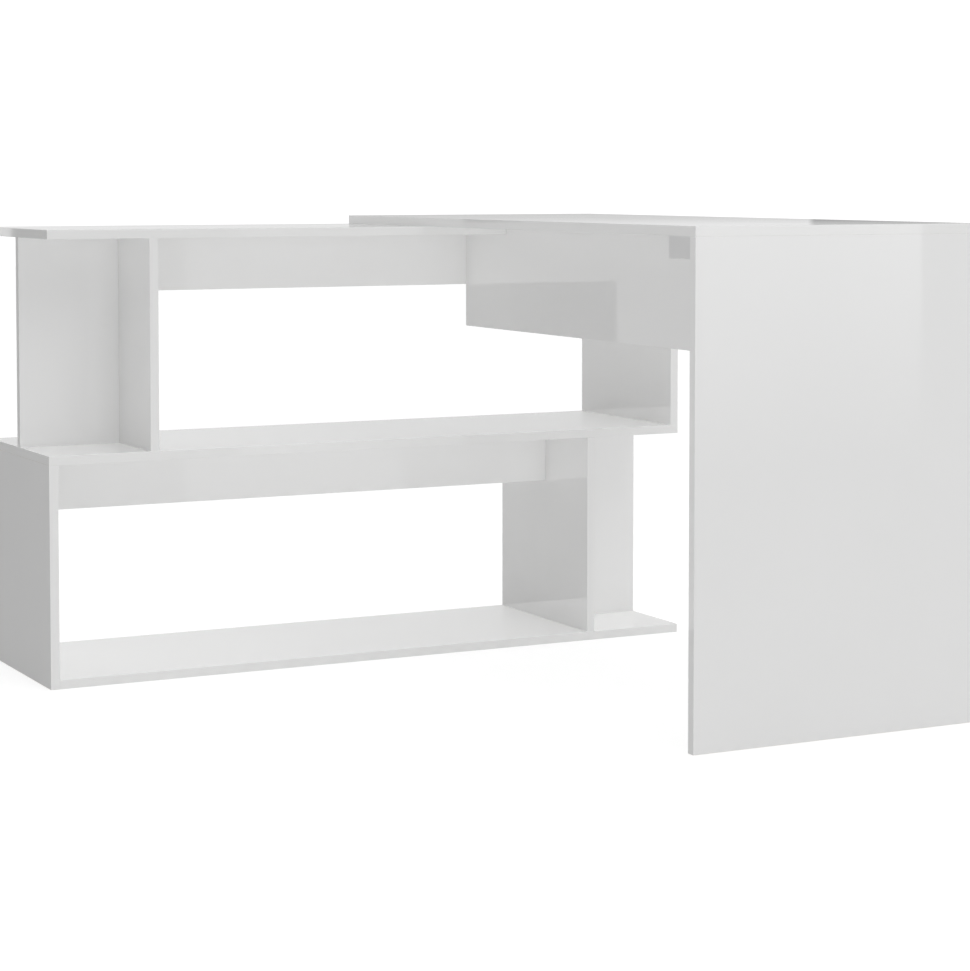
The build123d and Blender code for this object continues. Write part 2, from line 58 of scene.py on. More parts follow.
BOARDS = (
    "desk_top",
    "desk_leg_panel",
    "desk_apron",
    "shelf_top_board",
    "shelf_middle_board",
    "shelf_bottom_board",
    "lower_left_end_panel",
    "upper_right_end_panel",
    "upper_left_divider",
    "lower_right_divider",
    "upper_left_brace",
    "lower_right_brace",
    "upper_stretcher",
    "lower_stretcher",
)
EDGE_BANDS = tuple(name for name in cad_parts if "edge_band" in name)
CORNER_BLOCKS = ("left_corner_block", "right_corner_block")
CAM_LOCKS = ("shelf_cam_locks", "desk_cam_locks")
CAM_BOLTS = ("shelf_cam_bolts", "desk_cam_bolts")
CAM_COVERS = ("shelf_cam_covers", "desk_cam_covers")
DOWELS = ("shelf_dowels", "desk_dowels")
CONNECTORS = ("shelf_connector_screws",)
WOOD_SCREWS = ("desk_top_screws", "corner_block_screws")

# places along a connecting bolt, from the end of its head
BOLT_HEAD_END, BOLT_NECK_START = 3.6 * MM, 5.0 * MM
BOLT_NECK_END, BOLT_SHANK_START = 9.7 * MM, 10.9 * MM
BOLT_SHANK_END, BOLT_THREAD_START = 25.0 * MM, 25.3 * MM
THREAD_SHARPNESS = 1.6
SCREW_ROOT_SHARE = 0.65
DOWEL_FLUTES = 12


# ---------------------------------------------------------------------- node trees
class Wire:
    """The value of a node's output, which takes part in sums as a number does."""

    def __init__(self, output):
        self.output = output
        self.tree = output.id_data

    def reckon(self, operation, *others):
        return reckon(self.tree, operation, self, *others)

    def __add__(self, other):
        return self.reckon("ADD", other)

    def __sub__(self, other):
        return self.reckon("SUBTRACT", other)

    def __mul__(self, other):
        return self.reckon("MULTIPLY", other)

    def __truediv__(self, other):
        return self.reckon("DIVIDE", other)

    def __pow__(self, other):
        return self.reckon("POWER", other)

    def __gt__(self, other):
        return self.reckon("GREATER_THAN", other)

    def __radd__(self, other):
        return self + other

    def __rmul__(self, other):
        return self * other

    def __rsub__(self, other):
        return reckon(self.tree, "SUBTRACT", other, self)

    def __abs__(self):
        return self.reckon("ABSOLUTE")

    def rise(self, start, end):
        """0 up to start, 1 from end on, and straight in between."""
        kind = "ShaderNodeMapRange"
        return add_node(self.tree, kind, {"Value": self, "From Min": start, "From Max": end})


def feed(put_in, value):
    """Link a wire to an input, or set the input to a plain value."""
    if isinstance(value, Wire):
        put_in.id_data.links.new(value.output, put_in)
    else:
        put_in.default_value = value


def add_node(tree, kind, feeds=(), **settings):
    """Add a node with its own settings and its inputs fed, and give its first output."""
    node = tree.nodes.new(kind)
    for name, value in settings.items():
        setattr(node, name, value)
    for name, value in dict(feeds).items():
        feed(node.inputs[name], value)
    return Wire(next(output for output in node.outputs if output.enabled))


def output_of(wire, name):
    """Another output of the node that a wire comes from."""
    return Wire(wire.output.node.outputs[name])


def reckon(tree, operation, *values):
    """A sum in a tree, of wires and plain values."""
    return add_node(tree, "ShaderNodeMath", dict(enumerate(values)), operation=operation)


def split(vector):
    """The three parts of a vector."""
    first = add_node(vector.tree, "ShaderNodeSeparateXYZ", {"Vector": vector})
    return first, output_of(first, "Y"), output_of(first, "Z")


def join(tree, x, y, z):
    """A vector of three parts."""
    return add_node(tree, "ShaderNodeCombineXYZ", {"X": x, "Y": y, "Z": z})


# ---------------------------------------------------------------------- finishes
def place_of(tree):
    """The wire of the piece's own coordinates."""
    return Wire(tree.nodes.new("ShaderNodeTexCoord").outputs["Object"])


def tree_attribute(tree, name):
    """The wire of a vector that each corner of the mesh carries."""
    first = add_node(tree, "ShaderNodeAttribute", attribute_name=name)
    return output_of(first, "Vector")


def stretched(place, scale):
    """Coordinates stretched by a scale for each axis."""
    return add_node(place.tree, "ShaderNodeMapping", {"Vector": place, "Scale": scale})


def noise(place, scale, detail=2.0, roughness=0.5):
    """Soft clouds from 0 to 1, so many to the metre."""
    feeds = {"Vector": place, "Scale": scale, "Detail": detail, "Roughness": roughness}
    return add_node(place.tree, "ShaderNodeTexNoise", feeds)


def cells(place, scale):
    """Wires of a cell pattern: distance to the cell's middle, and the cell's own colour."""
    distance = add_node(place.tree, "ShaderNodeTexVoronoi", {"Vector": place, "Scale": scale})
    return distance, output_of(distance, "Color")


def mix(kind, factor, first, second):
    """From the first value to the second, which are of one kind, colours or vectors."""
    node = factor.tree.nodes.new("ShaderNodeMix")
    node.data_type = kind
    feed(node.inputs["Factor"], factor)
    put_in = [socket for socket in node.inputs if socket.enabled and socket.name in "AB"]
    for socket, value in zip(put_in, (first, second)):
        feed(socket, value)
    return Wire(next(output for output in node.outputs if output.enabled))


def colour_mix(factor, first, second):
    """From the first colour to the second."""
    colours = [part if isinstance(part, Wire) else opaque(part) for part in (first, second)]
    return mix("RGBA", factor, *colours)


def opaque(colour, share=1.0):
    """A colour, darkened to a share, with full alpha."""
    return (*(part * share for part in tuple(colour)[:3]), 1.0)


def bumps(height, depth, below=None):
    """The normal of a relief whose heights run from 0 to 1 times depth."""
    feeds = {"Height": height, "Distance": depth, "Strength": 1.0}
    if below is not None:
        feeds["Normal"] = below
    return add_node(height.tree, "ShaderNodeBump", feeds)


def start_finish(name, **constants):
    """A new material, its shader with the constant values set, and its coordinates."""
    finish = bpy.data.materials.new(name)
    finish.use_nodes = True
    shader = finish.node_tree.nodes["Principled BSDF"]
    for socket, value in constants.items():
        shader.inputs[socket.replace("_", " ")].default_value = value
    return finish, shader, place_of(finish.node_tree)


def end_finish(shader, colour, roughness, normal):
    """Feed a shader what changes from place to place."""
    feed(shader.inputs["Base Color"], colour)
    feed(shader.inputs["Roughness"], roughness)
    feed(shader.inputs["Normal"], normal)


def gloss_surface(place, colour, gloss):
    """Colour, roughness and relief of a high-gloss white film."""
    cloud = noise(place, 3.0)
    tone = colour_mix(cloud.rise(0.3, 0.7), opaque(colour, 0.988), opaque(colour))
    smear = noise(place, 11.0, 3.0)
    roughness = smear * gloss + gloss * 0.5
    swell = bumps(noise(place, 28.0, 1.0), 0.012 * MM)
    peel = bumps(noise(place, 420.0, 1.0), 0.00035 * MM, swell)
    return tone, roughness, peel


def chipboard_surface(place, from_face, finishes):
    """Colour and relief of cut particleboard: coarse in the middle, fine under the faces."""
    coarse, coarse_shade = cells(place, 420.0)
    fine, fine_shade = cells(place, 1300.0)
    middle = from_face.rise(2.0 * MM, 3.5 * MM)
    shade = split(coarse_shade)[0] * middle + split(fine_shade)[1] * (1.0 - middle)
    chips = colour_mix(shade, opaque(finishes.chip_dark), opaque(finishes.chip_light))
    return chips, bumps(coarse * middle + fine * (1.0 - middle), 0.15 * MM)


def thickness_axis(board):
    """The axis that a board is thin along, and its faces' places on it."""
    low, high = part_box(board)
    across = min(range(3), key=lambda axis: high[axis] - low[axis])
    return across, low[across], high[across]


def board_finish(name, finishes):
    """Film on a board's two faces, and bare particleboard wherever it was cut."""
    across, low, high = thickness_axis(name)
    finish, shader, place = start_finish(f"film_on_{name}", IOR=1.5)
    depth = (high - low) / 2 - abs(split(place)[across] - (low + high) / 2)
    cut = depth > finishes.film_thickness
    tone, roughness, relief = gloss_surface(place, finishes.film_colour, finishes.film_gloss)
    chips, chip_relief = chipboard_surface(place, depth, finishes)
    normal = mix("VECTOR", cut, relief, chip_relief)
    dull = roughness * (1.0 - cut) + cut * 0.85
    end_finish(shader, colour_mix(cut, tone, chips), dull, normal)
    return finish


def band_finish(name, finishes):
    """Gloss edge band, with the faint marks of the scraper along it."""
    board = next(board for board in BOARDS if board.startswith(name.split("_edge_band")[0]))
    across = thickness_axis(board)[0]
    finish, shader, place = start_finish(f"gloss_{name}", IOR=1.5)
    tone, roughness, relief = gloss_surface(place, finishes.band_colour, finishes.film_gloss * 1.3)
    lines = [900.0 if axis == across else 2.5 for axis in range(3)]
    scraped = noise(stretched(place, lines), 1.0, 2.0)
    end_finish(shader, tone, roughness, bumps(scraped, 0.0012 * MM, relief))
    return finish


def block_finish(finishes):
    """Satin grey plastic with the fine sparkle of an eroded mould."""
    finish, shader, place = start_finish("moulded_grey_plastic", IOR=1.46)
    cloud = noise(place, 40.0, 3.0)
    tone = colour_mix(cloud, opaque(finishes.block_colour, 0.96), opaque(finishes.block_colour))
    grain = noise(place, 2600.0, 3.0)
    end_finish(shader, tone, grain * 0.2 + 0.38, bumps(grain, 0.025 * MM))
    return finish


def cover_finish(finishes):
    """Thin white plastic with a faint leathery emboss."""
    finish, shader, place = start_finish("stick_on_white_plastic", IOR=1.46)
    hide, _ = cells(place, 1100.0)
    cloud = noise(place, 90.0)
    tone = colour_mix(cloud, opaque(finishes.cover_colour, 0.97), opaque(finishes.cover_colour))
    end_finish(shader, tone, cloud * 0.15 + 0.35, bumps(hide, 0.02 * MM))
    return finish


def metal_finish(name, colour, tint, roughness, grain_size, depth):
    """Metal whose tone and roughness wander, with a fine grain."""
    finish, shader, place = start_finish(name, Metallic=1.0)
    cloud = noise(place, 160.0, 4.0)
    grain = noise(place, 1.0 / grain_size, 3.0)
    tone = colour_mix(cloud.rise(0.3, 0.7), opaque(colour), opaque(tint))
    end_finish(shader, tone, cloud * 0.2 + (roughness - 0.1), bumps(grain, depth))
    return finish


def wood_finish(finishes):
    """Beech, its fine rays and pores drawn out along the piece."""
    finish, shader, _ = start_finish("plain_beech", IOR=1.45)
    grain = tree_attribute(finish.node_tree, "grain_place")
    ray = noise(stretched(grain, (1.0, 1.0, 0.08)), 900.0, 4.0, 0.7)
    pore, _ = cells(stretched(grain, (1.0, 1.0, 0.15)), 2400.0)
    tone = colour_mix(ray.rise(0.35, 0.7), opaque(finishes.wood_dark), opaque(finishes.wood_light))
    end_finish(shader, tone, ray * 0.2 + 0.55, bumps(pore, 0.04 * MM))
    return finish


def soften(name, width):
    """Round the edges of a CAD node, once its loose triangles are joined to whole faces."""
    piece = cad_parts[name]
    piece.modifiers.new("joined_corners", "WELD").merge_threshold = 0.002 * MM
    joined = piece.modifiers.new("whole_faces", "DECIMATE")
    joined.decimate_type = "DISSOLVE"
    joined.angle_limit = math.radians(1)
    edges = piece.modifiers.new("soft_edges", "BEVEL")
    edges.width = width
    edges.segments = 2
    edges.limit_method = "ANGLE"
    edges.angle_limit = math.radians(35)


def dress(names, finish_for):
    """Give CAD nodes their finish, in every slot."""
    for name in names:
        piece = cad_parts[name]
        finish = finish_for(name)
        for slot in piece.material_slots:
            slot.material = finish
        if not piece.material_slots:
            raise RuntimeError(f"{name} has no material slot")


# ---------------------------------------------------------------------- where the fittings are
def solids_of(name):
    """The corners of each separate solid of a CAD node, from a merged copy of its mesh."""
    copy = bmesh.new()
    copy.from_mesh(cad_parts[name].data)
    bmesh.ops.remove_doubles(copy, verts=copy.verts, dist=0.001 * MM)
    left = set(copy.verts)
    solids = []
    while left:
        solid, reached = [], [left.pop()]
        while reached:
            corner = reached.pop()
            solid.append(tuple(corner.co))
            for edge in corner.link_edges:
                other = edge.other_vert(corner)
                if other in left:
                    left.remove(other)
                    reached.append(other)
        solids.append(np.array(solid))
    copy.free()
    return sorted(solids, key=lambda solid: tuple(np.round(solid.mean(0), 5)))


def axis_from(solid, choose):
    """Middle of a solid's box, its axis, and its length along that axis."""
    low, high = solid.min(0), solid.max(0)
    axis = int(choose(high - low))
    return (low + high) / 2, axis, (high - low)[axis]


def girth_at(solid, middle, axis, end):
    """Largest distance from the axis at one end of a solid."""
    off = solid - middle
    at_end = np.abs(off[:, axis] - end) < 0.05 * MM
    off[:, axis] = 0
    return np.linalg.norm(off[at_end], axis=1).max()


def along(axis, sign):
    """The unit vector one way along an axis."""
    direction = Vector((0.0, 0.0, 0.0))
    direction[axis] = sign
    return direction


def standing_places(name):
    """Where long fittings stand: the middle of the head's end, and the way to the other end."""
    places = []
    for solid in solids_of(name):
        middle, axis, length = axis_from(solid, np.argmax)
        girths = [girth_at(solid, middle, axis, end) for end in (-length / 2, length / 2)]
        sign = 1.0 if girths[0] >= girths[1] else -1.0
        way = along(axis, sign)
        places.append((Vector(middle) - way * (length / 2), way))
    return places, length


def cover_places(name, cams):
    """Where covers lie: on the board's face, looking away from the cam under each."""
    places = []
    for solid in solids_of(name):
        middle, axis, height = axis_from(solid, np.argmin)
        near = min(cams, key=lambda cam: (cam - Vector(middle)).length)
        sign = 1.0 if middle[axis] > near[axis] else -1.0
        way = along(axis, sign)
        places.append((Vector(middle) - way * (height / 2), way))
    return places, height


# ---------------------------------------------------------------------- fittings
def fitting_tree(name, sizes, shape):
    """A tree that sets one fitting on each place, turned the way the place says."""
    tree = bpy.data.node_groups.new(name, "GeometryNodeTree")
    face = tree.interface
    face.new_socket("Places", in_out="INPUT", socket_type="NodeSocketGeometry")
    for label in sizes:
        socket = face.new_socket(label, in_out="INPUT", socket_type="NodeSocketFloat")
        socket.subtype = "DISTANCE"
    face.new_socket("Finish", in_out="INPUT", socket_type="NodeSocketMaterial")
    face.new_socket("Fittings", in_out="OUTPUT", socket_type="NodeSocketGeometry")
    entry = tree.nodes.new("NodeGroupInput")
    given = {output.name: Wire(output) for output in entry.outputs if output.name}
    one = shape(tree, *(given[label] for label in sizes))
    turn = add_node(
        tree, "GeometryNodeInputNamedAttribute", {"Name": "turn"}, data_type="QUATERNION"
    )
    feeds = {"Points": given["Places"], "Instance": one, "Rotation": turn}
    placed = add_node(tree, "GeometryNodeInstanceOnPoints", feeds)
    real = add_node(tree, "GeometryNodeRealizeInstances", {"Geometry": placed})
    finished = add_node(
        tree, "GeometryNodeSetMaterial", {"Geometry": real, "Material": given["Finish"]}
    )
    feed(tree.nodes.new("NodeGroupOutput").inputs["Fittings"], finished)
    return tree


def rod(tree, around, rings):
    """A rod of radius and length 1, with wires for where each of its corners is.

    They are the corner's x and y, its turn round the rod, and its way along from the head.
    """
    mesh = add_node(
        tree,
        "GeometryNodeMeshCylinder",
        {"Vertices": around, "Side Segments": rings, "Radius": 1.0, "Depth": 1.0},
        fill_type="NGON",
    )
    x, y, z = split(add_node(tree, "GeometryNodeInputPosition"))
    return mesh, x, y, reckon(tree, "ARCTAN2", y, x) / math.tau, z + 0.5


def turned(mesh, x, y, radius, z):
    """The rod with its corners moved to a radius and a height of their own."""
    moved = {"Geometry": mesh, "Position": join(mesh.tree, x * radius, y * radius, z)}
    return add_node(mesh.tree, "GeometryNodeSetPosition", moved)


def ridge(turns):
    """1 on the crest of a thread and 0 in its root."""
    return (1.0 - abs(turns.reckon("FRACT") * 2.0 - 1.0)) ** THREAD_SHARPNESS


def bolt_shape(tree, length, head, neck, shank, thread, root, pitch):
    """A connecting bolt: head, neck, shank and a chipboard thread."""
    mesh, x, y, turn, share = rod(tree, around=16, rings=84)
    z = share * length
    cone = z.rise(BOLT_HEAD_END, BOLT_NECK_START)
    shoulder = z.rise(BOLT_NECK_END, BOLT_SHANK_START)
    step = z.rise(BOLT_SHANK_END, BOLT_THREAD_START)
    screw = root + (thread - root) * ridge(z / pitch - turn)
    radius = head + (neck - head) * cone + (shank - neck) * shoulder + (screw - shank) * step
    rounded = z.rise(-0.3 * MM, 0.5 * MM) * (length - z).rise(-1.0 * MM, 1.6 * MM)
    return turned(mesh, x, y, radius * rounded, z)


def screw_shape(tree, length, head, thread, root, pitch):
    """A countersunk screw with a pointed tip and a cross recess."""
    mesh, x, y, turn, share = rod(tree, around=16, rings=90)
    z = share * length
    cone = z.rise(0.3 * MM, head - root)
    screw = root + (thread - root) * ridge(z / pitch - turn) * z.rise(head, head + pitch)
    point = ((length - z) / (thread * 2.2)).reckon("MINIMUM", 1.0) * 0.97 + 0.03
    screw_body = turned(mesh, x, y, (head + (screw - head) * cone) * point, z)
    # the slots end at two depths, so that no face of one lies in a face of the other
    slots = [
        add_node(tree, "GeometryNodeMeshCube", {"Size": join(tree, wide, deep, high)})
        for wide, deep, high in (
            (head * 1.1, head * 0.24, head * 0.9),
            (head * 0.24, head * 1.1, head * 0.8),
        )
    ]
    cut = tree.nodes.new("GeometryNodeMeshBoolean")
    cut.operation = "DIFFERENCE"
    feed(cut.inputs["Mesh 1"], screw_body)
    for slot in slots:
        feed(cut.inputs["Mesh 2"], slot)
    return Wire(cut.outputs["Mesh"])


def dowel_shape(tree, length, radius, flute, chamfer):
    """A dowel with straight flutes and chamfered ends."""
    mesh, x, y, turn, share = rod(tree, around=48, rings=12)
    z = share * length
    groove = (turn * (DOWEL_FLUTES * math.tau)).reckon("COSINE") * 0.5 + 0.5
    end = z.reckon("MINIMUM", length - z)
    narrow = chamfer * (1.0 - end.rise(0.0, chamfer))
    dowel = turned(mesh, x, y, radius - flute * groove ** 3.0 - narrow, z)
    grain = {
        "Geometry": dowel,
        "Name": "grain_place",
        "Value": add_node(tree, "GeometryNodeInputPosition"),
    }
    return add_node(tree, "GeometryNodeStoreNamedAttribute", grain, data_type="FLOAT_VECTOR")


def cover_shape(tree, radius, height, rim):
    """A thin round cover, its top rounded down to a low rim."""
    mesh = add_node(
        tree,
        "GeometryNodeMeshCylinder",
        {"Vertices": 48, "Side Segments": 2, "Fill Segments": 10, "Radius": radius, "Depth": height},
        fill_type="TRIANGLE_FAN",
    )
    x, y, z = split(add_node(tree, "GeometryNodeInputPosition"))
    out = (x * x + y * y).reckon("SQRT") / radius
    fall = (height - rim) * out ** 9.0 * z.rise(0.0, height * 0.5)
    up = join(tree, x, y, z + height * 0.5 - fall)
    return add_node(tree, "GeometryNodeSetPosition", {"Geometry": mesh, "Position": up})


def set_fittings(name, places, tree, sizes, finish):
    """Stand fittings on their places, in the room of the CAD node of that name."""
    mesh = bpy.data.meshes.new(f"{name}_places")
    mesh.from_pydata([tuple(point) for point, _ in places], [], [])
    turns = mesh.attributes.new("turn", "QUATERNION", "POINT")
    for entry, (_, way) in zip(turns.data, places):
        entry.value = way.to_track_quat("Z", "Y")
    fittings = bpy.data.objects.new(f"{name}_detailed", mesh)
    bpy.context.scene.collection.objects.link(fittings)
    modifier = fittings.modifiers.new("fittings", "NODES")
    modifier.node_group = tree
    identifiers = {item.name: item.identifier for item in tree.interface.items_tree}
    for label, value in {**sizes, "Finish": finish}.items():
        modifier[identifiers[label]] = value
    evaluated = fittings.evaluated_get(bpy.context.evaluated_depsgraph_get())
    made = bpy.data.meshes.new_from_object(evaluated)
    if not made.polygons:
        raise RuntimeError(f"{name}: the tree made nothing")
    fittings.modifiers.remove(modifier)
    fittings.data = made
    bpy.data.meshes.remove(mesh)
    made.materials.clear()
    made.materials.append(finish)
    made.polygons.foreach_set("material_index", [0] * len(made.polygons))
    made.shade_smooth()
    made.set_sharp_from_angle(angle=math.radians(40))
    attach(fittings, "root")
    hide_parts(name)


# ---------------------------------------------------------------------- what a user can change
def colour_property(name, description, default):
    """A colour that a user can change."""
    return bpy.props.FloatVectorProperty(
        name=name, description=description, default=default, subtype="COLOR", size=3, min=0, max=1
    )


def length_property(name, description, default):
    """A length that a user can change."""
    return bpy.props.FloatProperty(
        name=name, description=description, default=default, subtype="DISTANCE", unit="LENGTH", min=0
    )


def strength_property(name, description, default):
    """A light's strength that a user can change."""
    return bpy.props.FloatProperty(name=name, description=description, default=default, min=0)


class CornerDeskFinishes(bpy.types.PropertyGroup):
    film_colour: colour_property("Film", "White film on the boards' faces", (0.90, 0.90, 0.897))
    film_gloss: bpy.props.FloatProperty(
        name="Film gloss", description="Roughness of the film", default=0.025, min=0.01, max=1
    )
    film_thickness: length_property("Film thickness", "Thickness of the film on the boards", 0.25 * MM)
    band_colour: colour_property("Edge bands", "White of the edge bands", (0.90, 0.90, 0.896))
    chip_dark: colour_property("Dark chips", "Darkest chips of the particleboard", (0.30, 0.20, 0.11))
    chip_light: colour_property("Light chips", "Lightest chips of the particleboard", (0.66, 0.50, 0.32))
    block_colour: colour_property("Corner blocks", "Moulded plastic of the blocks", (0.78, 0.78, 0.78))
    block_edge: length_property("Block edges", "Rounding of the corner blocks", 1.0 * MM)
    cover_colour: colour_property("Covers", "Stick-on covers of the cams", (0.74, 0.74, 0.73))
    wood_dark: colour_property("Dark wood", "Pores and rays of the dowels", (0.40, 0.24, 0.12))
    wood_light: colour_property("Light wood", "Ground colour of the dowels", (0.66, 0.46, 0.27))


class CornerDeskFittings(bpy.types.PropertyGroup):
    bolt_head: length_property("Bolt head", "Radius of a bolt's head", 3.4 * MM)
    bolt_neck: length_property("Bolt neck", "Radius of a bolt's neck", 2.0 * MM)
    bolt_shank: length_property("Bolt shank", "Radius of a bolt's shank", 3.2 * MM)
    bolt_thread: length_property("Bolt thread", "Outer radius of a bolt's thread", 2.5 * MM)
    bolt_root: length_property("Bolt root", "Radius at the root of a bolt's thread", 1.8 * MM)
    bolt_pitch: length_property("Bolt pitch", "Pitch of a bolt's thread", 2.2 * MM)
    connector_head: length_property("Connector head", "Head radius of a connector", 5.0 * MM)
    connector_thread: length_property("Connector thread", "Outer radius of its thread", 3.4 * MM)
    connector_pitch: length_property("Connector pitch", "Pitch of its thread", 3.0 * MM)
    screw_head: length_property("Screw head", "Head radius of a wood screw", 4.0 * MM)
    screw_thread: length_property("Screw thread", "Outer radius of its thread", 2.0 * MM)
    screw_pitch: length_property("Screw pitch", "Pitch of its thread", 1.8 * MM)
    dowel_radius: length_property("Dowel radius", "Radius over a dowel's flutes", 4.0 * MM)
    dowel_flute: length_property("Flute depth", "Depth of a dowel's flutes", 0.35 * MM)
    dowel_chamfer: length_property("Dowel chamfer", "Chamfer of a dowel's ends", 1.0 * MM)
    cover_radius: length_property("Cover radius", "Radius of a cam's cover", 9.0 * MM)
    cover_rim: length_property("Cover rim", "Height of a cover at its rim", 0.5 * MM)


class CornerDeskStudio(bpy.types.PropertyGroup):
    sky: strength_property("Sky", "Even light from above the horizon", 0.128)
    overhead: strength_property("Overhead", "More light from overhead", 0.558)
    behind: strength_property("Behind", "More light from behind the desk", 0.613)
    beside: strength_property("Beside", "More light from the desk's right", 0.761)
    horizon: strength_property("Horizon", "More light low down on the desk's right", 1.0)
    floor_glow: strength_property("Floor glow", "Light that the floor throws up", 0.284)
    floor_white: strength_property("Floor white", "How much paler the floor looks", 0.20)
    key_light: strength_property("Key light", "Brightness of the high softbox in front", 1.98)
    front_fill: strength_property("Front fill", "Light from the front without shadows", 0.365)
    top_fill: strength_property("Top fill", "Light from above without shadows", 0.79)
    front_panel: strength_property("Front panel", "Brightness of the panel the leg mirrors", 1.7)
    back_panels: strength_property("Back panels", "Brightness of those the rail mirrors", 0.74)
    floor_size: length_property("Floor", "Side of the square floor", 40.0)
    lens: bpy.props.FloatProperty(
        name="Lens", description="Focal length in millimetres", default=95.37, min=1
    )
    shift: bpy.props.FloatProperty(
        name="Shift", description="Upright shift of the lens", default=-0.17, min=-1, max=1
    )
    turn: bpy.props.FloatProperty(
        name="Turn", description="Turn of the camera", default=math.radians(-27.095), subtype="ANGLE"
    )
    tilt: bpy.props.FloatProperty(
        name="Tilt", description="Tilt of the camera", default=math.radians(-3.156), subtype="ANGLE"
    )
    viewpoint: bpy.props.FloatVectorProperty(
        name="Viewpoint",
        description="Where the camera stands",
        default=(-1.8454, -3.7203, 0.8273),
        subtype="TRANSLATION",
        unit="LENGTH",
        size=3,
    )


# ---------------------------------------------------------------------- operators
class CORNER_DESK_OT_finish_boards(bpy.types.Operator):
    """Face the boards with high-gloss white film, and leave their cuts bare particleboard"""

    bl_idname = "corner_desk.finish_boards"
    bl_label = "Finish boards"

    def execute(self, context):
        dress(BOARDS, lambda name: board_finish(name, context.scene.corner_desk_finishes))
        return {"FINISHED"}


class CORNER_DESK_OT_finish_edge_bands(bpy.types.Operator):
    """Give the edge bands their gloss and scraper marks"""

    bl_idname = "corner_desk.finish_edge_bands"
    bl_label = "Finish edge bands"

    def execute(self, context):
        dress(EDGE_BANDS, lambda name: band_finish(name, context.scene.corner_desk_finishes))
        return {"FINISHED"}


class CORNER_DESK_OT_finish_corner_blocks(bpy.types.Operator):
    """Give the corner blocks their moulded grey plastic and soft edges"""

    bl_idname = "corner_desk.finish_corner_blocks"
    bl_label = "Finish corner blocks"

    def execute(self, context):
        finishes = context.scene.corner_desk_finishes
        plastic = block_finish(finishes)
        dress(CORNER_BLOCKS, lambda name: plastic)
        for name in CORNER_BLOCKS:
            soften(name, finishes.block_edge)
        return {"FINISHED"}


class CORNER_DESK_OT_finish_cam_locks(bpy.types.Operator):
    """Give the cams their die-cast zinc"""

    bl_idname = "corner_desk.finish_cam_locks"
    bl_label = "Finish cam locks"

    def execute(self, context):
        zinc = metal_finish(
            "die_cast_zinc",
            colour=(0.46, 0.46, 0.48),
            tint=(0.34, 0.34, 0.36),
            roughness=0.5,
            grain_size=0.5 * MM,
            depth=0.03 * MM,
        )
        dress(CAM_LOCKS, lambda name: zinc)
        return {"FINISHED"}


class CORNER_DESK_OT_stand_bolts(bpy.types.Operator):
    """Stand a threaded connecting bolt in every cam joint"""

    bl_idname = "corner_desk.stand_bolts"
    bl_label = "Stand connecting bolts"

    def execute(self, context):
        sizes = context.scene.corner_desk_fittings
        nickel = metal_finish(
            "nickel_plate",
            colour=(0.66, 0.65, 0.62),
            tint=(0.56, 0.55, 0.53),
            roughness=0.24,
            grain_size=0.2 * MM,
            depth=0.004 * MM,
        )
        labels = ("Length", "Head", "Neck", "Shank", "Thread", "Root", "Pitch")
        tree = fitting_tree("connecting_bolts", labels, bolt_shape)
        for name in CAM_BOLTS:
            places, length = standing_places(name)
            values = (
                length,
                sizes.bolt_head,
                sizes.bolt_neck,
                sizes.bolt_shank,
                sizes.bolt_thread,
                sizes.bolt_root,
                sizes.bolt_pitch,
            )
            set_fittings(name, places, tree, dict(zip(labels, values)), nickel)
        return {"FINISHED"}


class CORNER_DESK_OT_lay_covers(bpy.types.Operator):
    """Lay a rounded cover over every cam that shows on a face"""

    bl_idname = "corner_desk.lay_covers"
    bl_label = "Lay cam covers"

    def execute(self, context):
        sizes = context.scene.corner_desk_fittings
        plastic = cover_finish(context.scene.corner_desk_finishes)
        labels = ("Radius", "Height", "Rim")
        tree = fitting_tree("cam_covers", labels, cover_shape)
        for name, locks in zip(CAM_COVERS, CAM_LOCKS):
            cams = [Vector((solid.min(0) + solid.max(0)) / 2) for solid in solids_of(locks)]
            places, height = cover_places(name, cams)
            values = (sizes.cover_radius, height, sizes.cover_rim)
            set_fittings(name, places, tree, dict(zip(labels, values)), plastic)
        return {"FINISHED"}


class CORNER_DESK_OT_stand_dowels(bpy.types.Operator):
    """Stand the fluted beech dowels in their joints"""

    bl_idname = "corner_desk.stand_dowels"
    bl_label = "Stand dowels"

    def execute(self, context):
        sizes = context.scene.corner_desk_fittings
        beech = wood_finish(context.scene.corner_desk_finishes)
        labels = ("Length", "Radius", "Flute", "Chamfer")
        tree = fitting_tree("fluted_dowels", labels, dowel_shape)
        for name in DOWELS:
            places, length = standing_places(name)
            values = (length, sizes.dowel_radius, sizes.dowel_flute, sizes.dowel_chamfer)
            set_fittings(name, places, tree, dict(zip(labels, values)), beech)
        return {"FINISHED"}


class CORNER_DESK_OT_drive_screws(bpy.types.Operator):
    """Drive the connectors and wood screws, each with its thread and cross recess"""

    bl_idname = "corner_desk.drive_screws"
    bl_label = "Drive screws"

    def execute(self, context):
        sizes = context.scene.corner_desk_fittings
        zinc = metal_finish(
            "bright_zinc_plate",
            colour=(0.62, 0.62, 0.64),
            tint=(0.55, 0.56, 0.60),
            roughness=0.28,
            grain_size=0.2 * MM,
            depth=0.005 * MM,
        )
        labels = ("Length", "Head", "Thread", "Root", "Pitch")
        tree = fitting_tree("countersunk_screws", labels, screw_shape)
        kinds = (
            (CONNECTORS, sizes.connector_head, sizes.connector_thread, sizes.connector_pitch),
            (WOOD_SCREWS, sizes.screw_head, sizes.screw_thread, sizes.screw_pitch),
        )
        for names, head, thread, pitch in kinds:
            for name in names:
                places, length = standing_places(name)
                values = (length, head, thread, thread * SCREW_ROOT_SHARE, pitch)
                set_fittings(name, places, tree, dict(zip(labels, values)), zinc)
        return {"FINISHED"}


